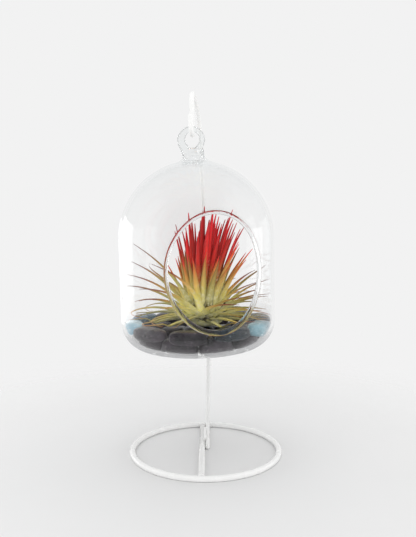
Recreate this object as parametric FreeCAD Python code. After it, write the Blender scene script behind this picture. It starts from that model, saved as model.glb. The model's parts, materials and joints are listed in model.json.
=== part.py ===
import FreeCAD, Part
import math
import os

# Air plant holder: a white wire stand with a crook, a blown glass globe hung from it by its glass loop,
# a bed of river pebbles in the globe and a rosette of thin leaves on the bed.
# Lengths are in millimetres and angles in degrees. The origin is the centre of the base ring on the
# surface that it stands on. +X is to the viewer's right, +Y away from the viewer and +Z up.

Vector = FreeCAD.Vector
up = Vector(0, 0, 1)

# Stand: base ring and cross bar
base_wire = 4.0
foot_flat = 0.25
end_notch = 2.0
end_slant = 32.0
weld_root = 0.6
weld_radius = 2.5
weld_lift = 0.2

# Stand: upright, crook and hook, bent from one thinner wire
mast_wire = 3.2
mast_side = 1.2
mast_clearance = 5.9
foot_reach = 47.0
foot_bend = 5.0
side_gap = 0.1
bow_height = 62.0
bow_side = 0.9
bow_radius = 400.0
lean = 2.1
crook_top = 239.4
crook_turn = 5.2
crook_radius = 44.0
shoulder_radius = 8.0
hook_drop = 27.9
hook_forward = 8.0
hook_radius = 5.0
hook_tip = 12.4
tip_rounding_share = 0.42
foot_weld_wire = 2.2
foot_weld_length = 22.0
foot_weld_back = 8.0

# Glass globe
globe_diameter = 100.0
globe_height = 121.4
glass_wall = 1.8
glass_floor = 2.4
heel_radius = 18.0
mouth_width = 58.8
mouth_height = 71.7
mouth_centre = 53.2
mouth_turn = 15.0
seat_radius = 8.2
seat_rise = 0.8
seat_skirt = 12.0

# Glass loop on top of the globe
loop_rod = 3.9
loop_outer = 17.2
loop_rise = 13.2
loop_off_centre = 1.0
stump_width_shares = (1.9, 1.75, 1.3)
stump_depth_shares = (1.9, 1.4, 0.62)
hang_gap = 0.25
hang_tilt = 1.3

# Pebbles
pebble_gap = 0.25
least_plan_area = 0.004
floor_ring_count = 10
floor_ring_inset = 13.7
inner_ring_count = 5
ring_spacing = 18.0
inner_first_turn = 20.0
top_ring_count = 10
top_first_turn = 11.0
pebble_height = 10.6
pebble_width = 13.4
top_pebble_height = 8.2
top_pebble_width = 12.0
length_shares = (0.97, 0.90, 0.95, 0.86, 0.93, 0.97, 0.88)
width_shares = (1.0, 0.93, 0.98, 0.9, 0.96)
height_shares = (1.0, 0.90, 0.96, 0.86)
egg_shares = (0.12, -0.08, 0.05, -0.14)
stone_sides = 12
stone_latitudes = (-58, -30, 0, 30, 58)
stone_fullness = 0.75
top_ring_names = (
    "teal_pebble_1", "top_pebble_1", "blue_pebble_1", "top_pebble_2", "blue_pebble_2",
    "top_pebble_3", "top_pebble_4", "top_pebble_5", "teal_pebble_2", "teal_pebble_3",
)

# Air plant
plant_side = 4.5
plant_back = 2.0
plant_lift = 8.0
core_radius = 12.0
core_height = 26.0
core_sides = 16
core_radius_shares = (0.55, 0.9, 1.0, 0.95, 0.74, 0.42)
core_height_shares = (0.02, 0.10, 0.24, 0.42, 0.66, 0.88)
leaf_gap = 0.3
leaf_width = 4.6
leaf_thickness = 1.5
leaf_spans = 8
leaf_swirl = 7.0
golden_turn = 137.508
leaf_taper = 0.7
leaf_arch = 1.3
tip_thickness_share = 0.3
skirt_length = 40.0
outer_length = 46.0
middle_length = 52.0
inner_length = 56.0
heart_length = 54.0
glass_room = 0.9
mouth_room = 9.0
mouth_side_turn = 45.0
bed_room = 1.6
shortening_steps = 60
shortening_share = 0.96
shortening_turn = 1.0
# Each tier: node, leaves, height on the core as a share, rise of the leaf at its base and at its tip
# in degrees, and the leaf's length
tiers = (
    ("skirt_leaves", 12, 0.36, 14.0, -10.0, skirt_length),
    ("outer_leaves", 11, 0.50, 36.0, 4.0, outer_length),
    ("middle_leaves", 10, 0.63, 54.0, 30.0, middle_length),
    ("inner_leaves", 7, 0.76, 70.0, 52.0, inner_length),
    ("heart_leaves", 5, 0.90, 84.0, 76.0, heart_length),
)
leaf_length_shares = (1.0, 0.86, 0.94, 0.8, 0.9)

# Places and sizes that follow from those
globe_radius = globe_diameter / 2
mast_radius = mast_wire / 2
ring_radius = globe_radius + mast_clearance + mast_radius - hook_forward
hook_height = crook_top - hook_drop
wire_height = base_wire / 2 - foot_flat
foot_height = mast_radius
side_step = (base_wire + mast_wire) / 2 + side_gap
bar_side = mast_side - math.sqrt(side_step ** 2 - (wire_height - foot_height) ** 2)
ring_inside = ring_radius - base_wire / 2
bar_end = math.sqrt(ring_inside ** 2 - bar_side ** 2) - weld_root
inner_radius = globe_radius - glass_wall
floor_ring_radius = inner_radius - floor_ring_inset
inner_ring_radius = floor_ring_radius - ring_spacing
inner_heel = heel_radius - glass_wall
dome_centre = globe_height - globe_radius
loop_radius = (loop_outer - loop_rod) / 2
loop_eye_radius = loop_outer / 2 - loop_rod
loop_centre = globe_height + loop_rise
overrun = 2 * globe_diameter


def rounded_path(corners, radii):
    """Straight runs through the corners, joined by tangent arcs with one radius for each inner corner."""
    edges = []
    start = corners[0]
    for before, corner, after, radius in zip(corners, corners[1:], corners[2:], radii):
        back = (before - corner).normalize()
        on = (after - corner).normalize()
        half_turn = (math.pi - back.getAngle(on)) / 2
        arc_start = corner + back * (radius * math.tan(half_turn))
        arc_end = corner + on * (radius * math.tan(half_turn))
        bisector = (back + on).normalize()
        arc_middle = corner + bisector * (radius / math.cos(half_turn) - radius)
        if not arc_start.isEqual(start, mast_wire / 1000):
            edges.append(Part.LineSegment(start, arc_start).toShape())
        edges.append(Part.Arc(arc_start, arc_middle, arc_end).toShape())
        start = arc_end
    edges.append(Part.LineSegment(start, corners[-1]).toShape())
    return Part.Wire(edges)


def rod_along(path, diameter):
    """Round wire of the given diameter along a path."""
    first = path.Edges[0]
    start = first.valueAt(first.FirstParameter)
    along = first.tangentAt(first.FirstParameter)
    section = Part.Wire(Part.makeCircle(diameter / 2, start, along))
    return path.makePipe(Part.Face(section))


def above(shape, height):
    """The part of a shape above a level."""
    corner = Vector(-overrun, -overrun, height - overrun)
    return shape.cut(Part.makeBox(2 * overrun, 2 * overrun, overrun, corner))


def ring_angle(side):
    """Angle round the base ring, from +X, of the point at its back that lies this far to the side."""
    return math.degrees(math.acos(side / ring_radius))


def base_ring():
    """Open ring: its right end stops at the upright and its left end is cut off aslant beside it."""
    right_end = ring_angle(mast_side + mast_radius + weld_root)
    left_end = ring_angle(mast_side - mast_radius - side_gap) - 360
    arc = Part.makeCircle(ring_radius, up * wire_height, up, left_end, right_end)
    ring = rod_along(Part.Wire(arc), base_wire)
    cut_side = mast_side - mast_radius - end_notch
    cutter = Part.makeBox(
        mast_side - cut_side, 4 * base_wire, 4 * base_wire, Vector(0, -2 * base_wire, -2 * base_wire)
    )
    cutter.rotate(Vector(), up, -end_slant)
    cutter.translate(Vector(cut_side, ring_radius, wire_height))
    return above(ring.cut(cutter), 0)


def cross_bar():
    """Straight bar from the front of the ring to its back, ground flat underneath like the ring."""
    start = Vector(bar_side, -bar_end, wire_height)
    return above(Part.makeCylinder(base_wire / 2, 2 * bar_end, start, Vector(0, 1, 0)), 0)


def crook_corners():
    """Corners of the upright's centreline, from the end of its foot to the tip of its hook."""
    rise = Vector(-math.sin(math.radians(lean)), 0, math.cos(math.radians(lean)))
    turn = math.radians(crook_turn)
    level = Vector(-math.sin(turn), -math.cos(turn), 0)
    forward = (level - rise * level.dot(rise)).normalize()
    reach = (ring_radius + hook_forward) / -forward.y - hook_radius
    heel = Vector(mast_side, ring_radius, foot_height)
    bow = Vector(mast_side + bow_side, ring_radius, bow_height)
    top_back = bow + rise * ((crook_top - bow_height) / rise.z)
    top_front = top_back + forward * reach
    drop = (top_front.z + hook_radius * forward.z - hook_height) / rise.z
    hook_back = top_front - rise * drop
    hook_front = hook_back + forward * (2 * hook_radius)
    return [
        heel - Vector(0, foot_reach, 0), heel, bow, top_back, top_front,
        hook_back, hook_front, hook_front + rise * hook_tip,
    ]


def hook_seat():
    """Middle of the hook's bottom, on the centreline of its wire: the globe swings about this point."""
    corners = crook_corners()
    return (corners[5] + corners[6]) * 0.5


def upright_crook():
    """One wire: foot beside the cross bar, leaning upright, crook over the globe and hook for its loop."""
    radii = (foot_bend, bow_radius, crook_radius, shoulder_radius, hook_radius, hook_radius)
    crook = rod_along(rounded_path(crook_corners(), radii), mast_wire)
    ends = [
        edge for edge in crook.Edges
        if edge.isClosed() and min(
            (edge.CenterOfMass - end).Length for end in (crook_corners()[0], crook_corners()[-1])
        ) < mast_radius / 2
    ]
    return crook.makeFillet(tip_rounding_share * mast_wire, ends)


def weld(centre, *joined):
    """A small weld bead round a joint, without the wires that it joins."""
    bead = Part.makeSphere(weld_radius, centre)
    for wire in joined:
        bead = bead.cut(wire)
    return above(bead, weld_lift)


def foot_weld(bar, crook):
    """The bead along the valley between the cross bar and the upright's foot."""
    valley = (bar_side + mast_side) / 2
    back = ring_radius - foot_bend - foot_weld_back
    start = Vector(valley, back - foot_weld_length, wire_height + base_wire / 2 - foot_weld_wire / 4)
    bead = Part.makeCylinder(foot_weld_wire / 2, foot_weld_length, start, Vector(0, 1, 0))
    return bead.cut(bar).cut(crook)


def hung(shape):
    """A shape of the globe, made about the globe's own axis and underside, as it hangs on the hook."""
    pivot = Vector(-loop_off_centre, 0, loop_centre + loop_eye_radius - mast_radius - hang_gap)
    turn = FreeCAD.Rotation(Vector(0, 1, 0), -hang_tilt)
    place = FreeCAD.Placement(hook_seat() - turn.multVec(pivot), turn)
    moved = shape.copy()
    moved.Placement = place.multiply(shape.Placement)
    return moved


def mouth_frame():
    """Directions of the mouth: up, to its left and straight out of it."""
    turn = math.radians(mouth_turn)
    out = Vector(math.sin(turn), -math.cos(turn), 0)
    left = Vector(-math.cos(turn), -math.sin(turn), 0)
    return left, out


def mouth_plug():
    """The oval block that opens the mouth, from the globe's axis outwards."""
    left, out = mouth_frame()
    oval = Part.Ellipse(Vector(), mouth_height / 2, mouth_width / 2).toShape()
    plug = Part.Face(Part.Wire(oval)).extrude(up * globe_diameter)
    plug.Placement = FreeCAD.Placement(FreeCAD.Matrix(
        up.x, left.x, out.x, 0,
        up.y, left.y, out.y, 0,
        up.z, left.z, out.z, mouth_centre,
        0, 0, 0, 1,
    ))
    return plug


def glass_outline(radius, height, heel, bottom, crown_reach):
    """Side view of one surface of the globe, from the axis at the bottom to the dome at this reach."""
    centre = Vector(0, 0, height - radius)
    crown = math.asin(crown_reach / radius)
    across = Vector(math.sin(crown / 2 + math.pi / 4), 0, math.cos(crown / 2 + math.pi / 4))
    top = centre + Vector(math.sin(crown), 0, math.cos(crown)) * radius
    heel_centre = Vector(radius - heel, 0, bottom + heel)
    corner = heel_centre + Vector(1, 0, -1) * (heel / math.sqrt(2))
    return top, [
        Part.LineSegment(Vector(0, 0, bottom), heel_centre - up * heel).toShape(),
        Part.Arc(heel_centre - up * heel, corner, heel_centre + Vector(heel, 0, 0)).toShape(),
        Part.LineSegment(heel_centre + Vector(heel, 0, 0), centre + Vector(radius, 0, 0)).toShape(),
        Part.Arc(centre + Vector(radius, 0, 0), centre + across * radius, top).toShape(),
    ]


def glass_globe():
    """Blown cloche: domed top with a flat seat for the loop, round heel and an oval mouth in its side."""
    seat = Vector(seat_radius, 0, globe_height + seat_rise)
    dome_end, outside = glass_outline(globe_radius, globe_height, heel_radius, 0, seat_skirt)
    crown, inside = glass_outline(inner_radius, globe_height - glass_wall, inner_heel, glass_floor, 0)
    edges = outside + [
        Part.LineSegment(dome_end, seat).toShape(),
        Part.LineSegment(seat, Vector(0, 0, seat.z)).toShape(),
        Part.LineSegment(Vector(0, 0, seat.z), crown).toShape(),
    ]
    edges += inside[::-1]
    edges.append(Part.LineSegment(Vector(0, 0, glass_floor), Vector()).toShape())
    wall = Part.Face(Part.Wire(Part.__sortEdges__(edges))).revolve(Vector(), up, 360)
    return hung(wall.cut(mouth_plug()).Solids[0])


def oval_wire(side, height, half_width, half_depth):
    """A level oval, wide along X, or a circle where both halves are alike."""
    centre = Vector(side, 0, height)
    if half_width - half_depth < loop_rod / 1000:
        return Part.Wire(Part.makeCircle(half_width, centre))
    return Part.Wire(Part.Ellipse(centre, half_width, half_depth).toShape())


def glass_loop():
    """The eye of solid rod and the stump that carries it on the globe's seat."""
    seat_height = globe_height + seat_rise
    stump_top = loop_centre - loop_eye_radius - loop_rod / 4
    sections = []
    for number, (width, depth) in enumerate(zip(stump_width_shares, stump_depth_shares)):
        share = number / (len(stump_width_shares) - 1)
        height = seat_height + share * (stump_top - seat_height)
        sections.append(oval_wire(-share * loop_off_centre, height, width * loop_rod, depth * loop_rod))
    stump = Part.makeLoft(sections, True, False)
    eye_centre = Vector(-loop_off_centre, 0, loop_centre)
    eye = Part.makeTorus(loop_radius, loop_rod / 2, eye_centre, Vector(0, 1, 0))
    hole_start = eye_centre - Vector(0, loop_outer, 0)
    hole = Part.makeCylinder(loop_eye_radius, 2 * loop_outer, hole_start, Vector(0, 1, 0))
    return hung(stump.cut(hole).fuse(eye).removeSplitter())


def skin_triangles(rings, sides):
    """Corner numbers of the faces of a skin: one start point, rings of points and one end point."""
    triangles = []
    for side in range(sides):
        after = (side + 1) % sides
        triangles.append((0, 1 + after, 1 + side))
        for ring in range(rings - 1):
            low = 1 + ring * sides
            high = low + sides
            triangles.append((low + side, low + after, high + side))
            triangles.append((low + after, high + after, high + side))
        last = 1 + (rings - 1) * sides
        triangles.append((last + side, last + after, last + sides))
    return triangles


def skinned(points, triangles):
    """A closed solid with flat three-cornered faces."""
    faces = []
    for corners in triangles:
        outline = [points[corner] for corner in corners]
        faces.append(Part.Face(Part.makePolygon(outline + outline[:1])))
    solid = Part.Solid(Part.Shell(faces))
    if solid.Volume < 0:
        solid.reverse()
    return solid


def stone_points(length, width, height, egg):
    """Corners of a water-worn stone about its own centre, from its underside to its top."""
    points = [up * (-height / 2)]
    for latitude in stone_latitudes:
        reach = math.cos(math.radians(latitude)) ** stone_fullness
        rise = math.sin(math.radians(latitude))
        for side in range(stone_sides):
            turn = 2 * math.pi * side / stone_sides
            along = reach * math.cos(turn)
            across = reach * math.sin(turn) * (1 + egg * along)
            points.append(Vector(length / 2 * along, width / 2 * across, height / 2 * rise))
    points.append(up * (height / 2))
    return points


def laid(points, radius, turn):
    """Points of a stone moved to its place in a ring, with its length along the ring."""
    place = math.radians(turn)
    heading = place + math.pi / 2
    moved = []
    for point in points:
        x = radius * math.cos(place) + point.x * math.cos(heading) - point.y * math.sin(heading)
        y = radius * math.sin(place) + point.x * math.sin(heading) + point.y * math.cos(heading)
        moved.append(Vector(x, y, point.z))
    return moved


def floor_level(radius):
    """Height of the glass inside the globe, at this distance from its axis."""
    past_flat = max(radius - (inner_radius - inner_heel), 0)
    past_flat = min(past_flat, inner_heel)
    return glass_floor + inner_heel - math.sqrt(inner_heel ** 2 - past_flat ** 2)


def crossing(points, triangles, x, y, pick):
    """Height where an upright line meets a skin: the highest with max, the lowest with min."""
    heights = []
    for first, second, third in triangles:
        a, b, c = points[first], points[second], points[third]
        area = (b.x - a.x) * (c.y - a.y) - (c.x - a.x) * (b.y - a.y)
        if abs(area) < least_plan_area:
            continue
        share_b = ((x - a.x) * (c.y - a.y) - (c.x - a.x) * (y - a.y)) / area
        share_c = ((b.x - a.x) * (y - a.y) - (x - a.x) * (b.y - a.y)) / area
        if share_b >= 0 and share_c >= 0 and share_b + share_c <= 1:
            heights.append(a.z + share_b * (b.z - a.z) + share_c * (c.z - a.z))
    return pick(heights) if heights else None


def reach_of(points):
    """Middle of some points in plan, and how far they reach from it."""
    x = (max(point.x for point in points) + min(point.x for point in points)) / 2
    y = (max(point.y for point in points) + min(point.y for point in points)) / 2
    return x, y, max(math.hypot(point.x - x, point.y - y) for point in points)


def settled(points, triangles, below):
    """Points let straight down until they are one gap above the glass or the nearest skin below."""
    room = min(point.z - floor_level(math.hypot(point.x, point.y)) for point in points)
    x, y, reach = reach_of(points)
    for other_points, other_triangles in below:
        other_x, other_y, other_reach = reach_of(other_points)
        if math.hypot(x - other_x, y - other_y) > reach + other_reach:
            continue
        for point in points:
            level = crossing(other_points, other_triangles, point.x, point.y, max)
            if level is not None:
                room = min(room, point.z - level)
        for point in other_points:
            level = crossing(points, triangles, point.x, point.y, min)
            if level is not None:
                room = min(room, level - point.z)
    return [point - up * (room - pebble_gap) for point in points]


def pebble_bed():
    """Names and skins of the stones: two rings and a middle stone on the floor, and a ring on top."""
    triangles = skin_triangles(len(stone_latitudes), stone_sides)
    top_radius = inner_radius - top_pebble_width / 2 - 2 * pebble_gap
    start = 2 * globe_height
    rings = (
        ([f"floor_pebble_{n + 1}" for n in range(floor_ring_count)], floor_ring_radius, pebble_width,
         pebble_height, 0),
        ([f"inner_pebble_{n + 1}" for n in range(inner_ring_count)], inner_ring_radius, pebble_width,
         pebble_height, inner_first_turn),
        (top_ring_names[:top_ring_count], top_radius, top_pebble_width, top_pebble_height, top_first_turn),
    )
    bed = []
    middle = [point + up * start for point in stone_points(
        2 * inner_ring_radius - pebble_width, pebble_width, pebble_height, egg_shares[0]
    )]
    bed.append(("middle_pebble", settled(middle, triangles, [])))
    number = 0
    for names, radius, width, height, first_turn in rings:
        chord = 2 * radius * math.sin(math.pi / len(names))
        below = [(points, triangles) for _, points in bed]
        for place, name in enumerate(names):
            points = stone_points(
                chord * length_shares[number % len(length_shares)],
                width * width_shares[number % len(width_shares)],
                height * height_shares[number % len(height_shares)],
                egg_shares[number % len(egg_shares)],
            )
            turn = first_turn + 360 * place / len(names)
            raised = [point + up * start for point in laid(points, radius, turn)]
            bed.append((name, settled(raised, triangles, below)))
            number += 1
    return bed, triangles


def core_points(height_above_floor):
    """Corners of the plant's core, from its underside to its top."""
    centre = Vector(plant_side, plant_back, height_above_floor)
    points = [centre]
    for radius_share, height_share in zip(core_radius_shares, core_height_shares):
        for side in range(core_sides):
            turn = 2 * math.pi * side / core_sides
            spoke = Vector(math.cos(turn), math.sin(turn), 0) * (core_radius * radius_share)
            points.append(centre + spoke + up * (core_height * height_share))
    points.append(centre + up * core_height)
    return points


def core_reach(height_share):
    """Radius of the core at a share of its height."""
    shares = list(zip(core_height_shares, core_radius_shares))
    for (low, low_radius), (high, high_radius) in zip(shares, shares[1:]):
        if low <= height_share <= high:
            part = (height_share - low) / (high - low)
            return core_radius * (low_radius + part * (high_radius - low_radius))
    return core_radius * shares[-1][1]


def room_at(point):
    """How far from the globe's axis a leaf may reach at a point, with the plant at rest or lifted."""
    over = max(point.z + plant_lift - dome_centre, 0)
    room = math.sqrt(max(inner_radius ** 2 - over ** 2, 0)) - glass_room
    bearing = math.degrees(math.atan2(point.x, -point.y))
    if abs(bearing - mouth_turn) < mouth_side_turn:
        room -= mouth_room
    return room


def leaf_line(base, turn, base_rise, tip_rise, length):
    """Stations along one leaf's middle: point, direction to its side, direction of its upper face."""
    stations = []
    point = base
    for span in range(leaf_spans + 1):
        share = span / leaf_spans
        heading = math.radians(turn + leaf_swirl * share)
        rise = math.radians(base_rise + (tip_rise - base_rise) * share ** leaf_arch)
        outward = Vector(math.cos(heading), math.sin(heading), 0)
        side = Vector(-math.sin(heading), math.cos(heading), 0)
        upper = up * math.cos(rise) - outward * math.sin(rise)
        stations.append((point, side, upper))
        point = point + (outward * math.cos(rise) + up * math.sin(rise)) * (length / leaf_spans)
    return stations


def leaf(base, turn, base_rise, tip_rise, length, bed_top):
    """One channelled leaf, shortened until it clears the glass and the pebbles."""
    stations = leaf_line(base, turn, base_rise, tip_rise, length)
    lowest = bed_top + bed_room
    for _ in range(shortening_steps):
        if all(math.hypot(p.x, p.y) < room_at(p) and p.z > lowest for p, _, _ in stations[1:]):
            break
        length *= shortening_share
        tip_rise += shortening_turn
        stations = leaf_line(base, turn, base_rise, tip_rise, length)
    points = [base]
    for number, (point, side, upper) in enumerate(stations[:-1]):
        share = number / leaf_spans
        half_width = leaf_width / 2 * (1 - share) ** leaf_taper
        half_thickness = leaf_thickness / 2 * (1 - (1 - tip_thickness_share) * share)
        points += [
            point - side * half_width + upper * half_thickness,
            point - upper * half_thickness,
            point + side * half_width + upper * half_thickness,
            point + upper * (half_thickness / 2),
        ]
    points.append(stations[-1][0])
    return skinned(points, skin_triangles(leaf_spans, 4))


def leaf_tiers(core_foot, bed_top):
    """Names and leaves of the rosette's tiers, from the skirt on the bed up to the red heart."""
    made = []
    for number, (name, count, height_share, base_rise, tip_rise, length) in enumerate(tiers):
        leaves = []
        reach = core_reach(height_share) + leaf_gap
        for place in range(count):
            turn = number * golden_turn + 360 * place / count
            spoke = Vector(math.cos(math.radians(turn)), math.sin(math.radians(turn)), 0)
            base = Vector(plant_side, plant_back, core_foot + core_height * height_share) + spoke * reach
            share = leaf_length_shares[(place + number) % len(leaf_length_shares)]
            leaves.append(leaf(base, turn, base_rise, tip_rise, length * share, bed_top))
        made.append((name, Part.Compound(leaves)))
    return made


def write(name, shape):
    """Writes one piece and says how many solids it has and how much they hold."""
    shape.exportStep(f"parts/{name}.step")
    print(f"{name}: {len(shape.Solids)} solids, {shape.Volume:.1f} mm3, valid {shape.isValid()}")


def main():
    os.makedirs("parts", exist_ok=True)
    ring = base_ring()
    bar = cross_bar()
    crook = upright_crook()
    write("base_ring", ring)
    write("cross_bar", bar)
    write("upright_crook", crook)
    write("front_weld", weld(Vector(bar_side, -bar_end - weld_root / 2, wire_height), ring, bar))
    write("back_weld", weld(Vector(bar_side, bar_end + weld_root / 2, wire_height), ring, bar, crook))
    end_side = mast_side + mast_radius + weld_root / 2
    write("end_weld", weld(Vector(end_side, ring_radius, wire_height), ring, crook))
    write("foot_weld", foot_weld(bar, crook))
    write("glass_globe", glass_globe())
    write("glass_loop", glass_loop())

    bed, triangles = pebble_bed()
    for name, points in bed:
        write(name, hung(skinned(points, triangles)))

    core_faces = skin_triangles(len(core_radius_shares), core_sides)
    below = [(points, triangles) for _, points in bed]
    core = settled(core_points(2 * globe_height), core_faces, below)
    write("plant_core", hung(skinned(core, core_faces)))
    bed_top = max(point.z for _, points in bed for point in points)
    for name, leaves in leaf_tiers(core[0].z, bed_top):
        write(name, hung(leaves))
    seat = hook_seat()
    print(f"hook seat at {seat.x:.3f}, {seat.y:.3f}, {seat.z:.3f}; bed top {bed_top:.2f} above the globe's foot")


main()
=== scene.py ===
# %% [markdown]
# # Air plant holder
#
# A white wire stand, a blown glass globe that hangs from its hook, a bed of polished pebbles and a red and
# green air plant. The measured model is loaded first and gives every place and size. This script gives it
# its looks: smooth blown glass with a fire-polished mouth, worn stones, a full rosette of thin leaves, and
# finishes for paint, glass, stone and leaf.

# %% Load the measured model
import json
import math
import random

import bmesh
import bpy
from mathutils import Matrix, Vector, noise


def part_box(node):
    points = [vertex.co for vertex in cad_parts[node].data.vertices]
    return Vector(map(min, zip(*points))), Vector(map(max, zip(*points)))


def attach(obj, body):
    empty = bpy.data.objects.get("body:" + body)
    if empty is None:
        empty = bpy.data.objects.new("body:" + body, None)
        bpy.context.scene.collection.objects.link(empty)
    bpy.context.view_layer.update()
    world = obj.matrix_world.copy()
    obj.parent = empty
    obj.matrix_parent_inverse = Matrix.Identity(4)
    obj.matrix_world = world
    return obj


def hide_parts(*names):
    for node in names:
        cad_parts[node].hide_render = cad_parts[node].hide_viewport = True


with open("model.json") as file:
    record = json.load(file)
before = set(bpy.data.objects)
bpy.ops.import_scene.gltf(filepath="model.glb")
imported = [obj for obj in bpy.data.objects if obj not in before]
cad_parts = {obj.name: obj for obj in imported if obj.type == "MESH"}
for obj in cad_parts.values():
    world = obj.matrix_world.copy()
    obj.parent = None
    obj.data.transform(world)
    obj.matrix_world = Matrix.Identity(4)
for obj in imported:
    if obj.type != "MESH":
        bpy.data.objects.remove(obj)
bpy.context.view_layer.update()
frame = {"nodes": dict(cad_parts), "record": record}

# %% [markdown]
# ## Sizes
#
# The globe's own sizes are repeated here in metres, about the globe's own axis with its underside at zero.
# Only the mouth is made a little smaller than it was measured, because the bead melted on its edge widens
# what is seen. The seat is the small flat on top of the dome, on which the loop's stump stands. A globe that
# stands straight is easier to shape than one that hangs askew, so one matrix hangs it on the hook when it is
# done, a little askew, as the measured globe hangs.

# %% Sizes of the globe, its mouth and its loop
mm = 0.001
globe_radius = 50.0 * mm
globe_height = 121.4 * mm
glass_wall = 1.8 * mm
glass_floor = 2.4 * mm
heel_radius = 18.0 * mm
mouth_half_width = 28.7 * mm
mouth_half_height = 35.2 * mm
mouth_centre = 53.2 * mm
mouth_turn = math.radians(15.0)
mouth_out = Vector((math.sin(mouth_turn), -math.cos(mouth_turn), 0.0))
mouth_left = Vector((-math.cos(mouth_turn), -math.sin(mouth_turn), 0.0))
mouth_bead = 2.5 * mm
seat_radius = 8.2 * mm
seat_height = globe_height + 0.8 * mm
stump_foot = 6.6 * mm
eye_centre = Vector((-1.0, 0.0, 134.6)) * mm
pivot = Vector((-1.0, 0.0, 137.45)) * mm
hook_seat = Vector((-8.615, -8.0, 211.5)) * mm
hang_tilt = math.radians(-1.3)
dome_centre = globe_height - globe_radius
hung = Matrix.Translation(hook_seat) @ Matrix.Rotation(hang_tilt, 4, "Y") @ Matrix.Translation(-pivot)
print("the globe's foot stands at", [round(value, 4) for value in hung @ Vector()])

# %% [markdown]
# ## Camera
#
# The photograph looks along +Y from a little above the globe's middle, tipped down by about five degrees.
# A camera can be moved by eye until the picture fits. Here the ring on the table fixed its numbers instead,
# because the ellipse of a flat ring gives the tip, the height and the distance.

# %% Camera
camera_data = bpy.data.cameras.new("camera")
camera = bpy.data.objects.new("camera", camera_data)
bpy.context.scene.collection.objects.link(camera)
bpy.context.scene.camera = camera
camera_data.sensor_width = 36.0
camera_data.lens = 43.58
camera.location = (0.00151, -0.4290, 0.1659)
camera.rotation_euler = (math.radians(90.0 - 5.45), 0.0, 0.0)
print("camera at", tuple(camera.location))

# %% [markdown]
# ## A helper for materials
#
# A material is a chain of small steps on numbers and colours. Such chains can be drawn by hand in the node
# editor, but long ones are hard to follow there. The class below wraps the end of a chain, so that the steps
# read as sums. Numbers go through Math nodes, colours and vectors through Mix and Vector Math, and every
# other node comes from the one method called node.

# %% Chains of material nodes
def set_stops(made, stops):
    """Gives a colour ramp its stops. Each is a place and a colour."""
    elements = made.color_ramp.elements
    while len(elements) < len(stops):
        elements.new(1.0)
    for element, (place, colour) in zip(elements, stops):
        element.position = place
        element.color = colour


class Flow:
    """The end of a chain of nodes. Sums of flows and plain numbers make more nodes."""

    def __init__(self, tree, socket=None):
        self.tree = tree
        self.socket = socket

    def node(self, kind, settings=None, values=None, output=0):
        """A new node with these settings, then these socket values or links. Returns one of its outputs."""
        made = self.tree.nodes.new(kind)
        for name, value in (settings or {}).items():
            if name == "stops":
                set_stops(made, value)
            else:
                setattr(made, name, value)
        for key, value in (values or {}).items():
            if isinstance(value, Flow):
                self.tree.links.new(value.socket, made.inputs[key])
            else:
                made.inputs[key].default_value = value
        return Flow(self.tree, made.outputs[output] if made.outputs else None)

    def combine(self, operation, first, second):
        """One arithmetic step, on numbers or on colours and vectors."""
        wide = any(isinstance(side, Flow) and side.socket.type != "VALUE" for side in (first, second))
        if not wide:
            return self.node("ShaderNodeMath", {"operation": operation}, {0: first, 1: second})
        sides = [side if isinstance(side, (Flow, tuple)) else (side, side, side) for side in (first, second)]
        return self.node("ShaderNodeVectorMath", {"operation": operation}, {0: sides[0], 1: sides[1]})

    def __add__(self, other):
        return self.combine("ADD", self, other)

    def __radd__(self, other):
        return self.combine("ADD", other, self)

    def __sub__(self, other):
        return self.combine("SUBTRACT", self, other)

    def __rsub__(self, other):
        return self.combine("SUBTRACT", other, self)

    def __mul__(self, other):
        return self.combine("MULTIPLY", self, other)

    def __rmul__(self, other):
        return self.combine("MULTIPLY", other, self)

    def __pow__(self, other):
        return self.combine("POWER", self, other)

    def __rpow__(self, other):
        return self.combine("POWER", other, self)

    def larger(self, other):
        return self.combine("MAXIMUM", self, other)

    def above(self, other):
        return self.combine("GREATER_THAN", self, other)

    def mix(self, low, high):
        """From colour low to colour high as this number goes from nought to one.

        The node has sockets for every kind of value: colours go in at 6 and 7 and come out at 2."""
        settings = {"data_type": "RGBA", "clamp_factor": True}
        return self.node("ShaderNodeMix", settings, {0: self, 6: low, 7: high}, 2)

    def between(self, low, high, first=0.0, last=1.0):
        """This number brought from the range low to high into the range first to last, and held there."""
        values = {0: self, 1: low, 2: high, 3: first, 4: last}
        return self.node("ShaderNodeMapRange", {"interpolation_type": "SMOOTHSTEP"}, values)

    def ramp(self, *stops):
        """Colours along this number. Each stop is a place and a colour."""
        return self.node("ShaderNodeValToRGB", {"stops": stops}, {0: self})


# %% Colours, clouds and bumps
def paint(red, green, blue):
    """A colour as it is seen on a screen, from 0 to 255, turned into light."""
    return tuple((value / 255 / 12.92) if value < 11 else ((value / 255 + 0.055) / 1.055) ** 2.4
                 for value in (red, green, blue)) + (1.0,)


def new_material(name):
    """An empty material and the start of its chains."""
    material = bpy.data.materials.new(name)
    material.use_nodes = True
    material.node_tree.nodes.clear()
    return material, Flow(material.node_tree)


def finish_material(start, shader):
    """Shows a shader on the surface."""
    start.node("ShaderNodeOutputMaterial", {}, {"Surface": shader})


def grain(start, scale, detail=3.0, seed=0.0):
    """Cloudy noise in the space of the model, from nought to one. A larger scale is finer."""
    place = start.node("ShaderNodeTexCoord", output="Object") + (seed, seed, seed)
    return start.node("ShaderNodeTexNoise", {}, {"Vector": place, "Scale": scale, "Detail": detail})


def bumped(start, height, distance, strength=1.0):
    """A normal that follows a height, in metres from nought to distance."""
    values = {"Height": height, "Distance": distance, "Strength": strength}
    return start.node("ShaderNodeBump", {}, values)


def mirrored_ray(start):
    """One on rays that have been mirrored, nought on those that at most passed through glass."""
    return start.node("ShaderNodeLightPath", output="Glossy Depth").above(0.5)


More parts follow.
